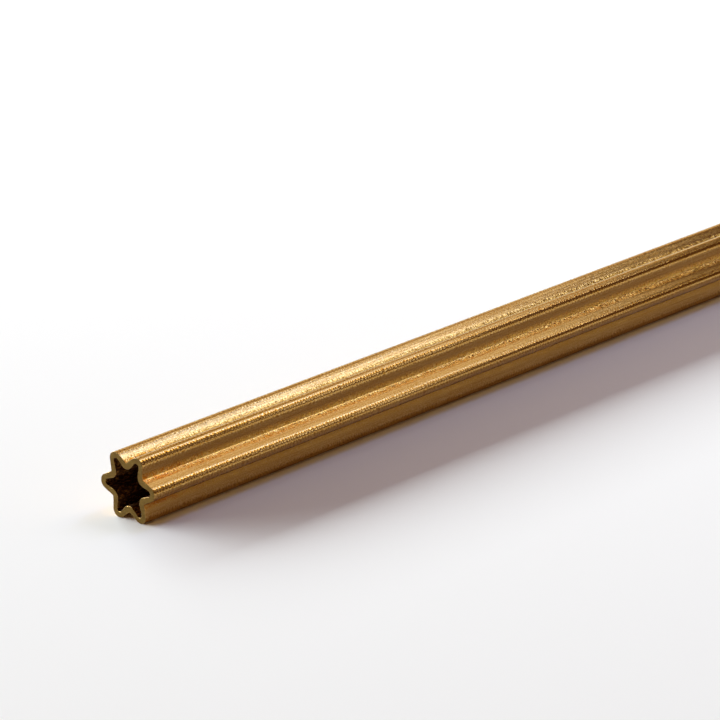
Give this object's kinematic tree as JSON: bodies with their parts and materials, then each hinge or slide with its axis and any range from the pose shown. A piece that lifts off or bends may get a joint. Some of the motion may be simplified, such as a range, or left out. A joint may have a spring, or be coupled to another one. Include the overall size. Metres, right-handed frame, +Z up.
{
  "type": "star-shaped brass tube",
  "caption": "Straight length of drawn brass tube with a star-shaped section: round lobes, rounded grooves and a star-shaped bore with blunter tips, open at both saw-cut ends.",
  "frame": {"origin": "on the bench that the tube lies on, under the middle of its length and width", "axes": "+X along the tube, away from the cut end that faces the viewer; +Z up"},
  "size_m": [0.3, 0.012, 0.0107],
  "materials": {
    "brass": "satin"
  },
  "bodies": {
    "root": {"star_tube": "brass"}
  },
  "joints": []
}
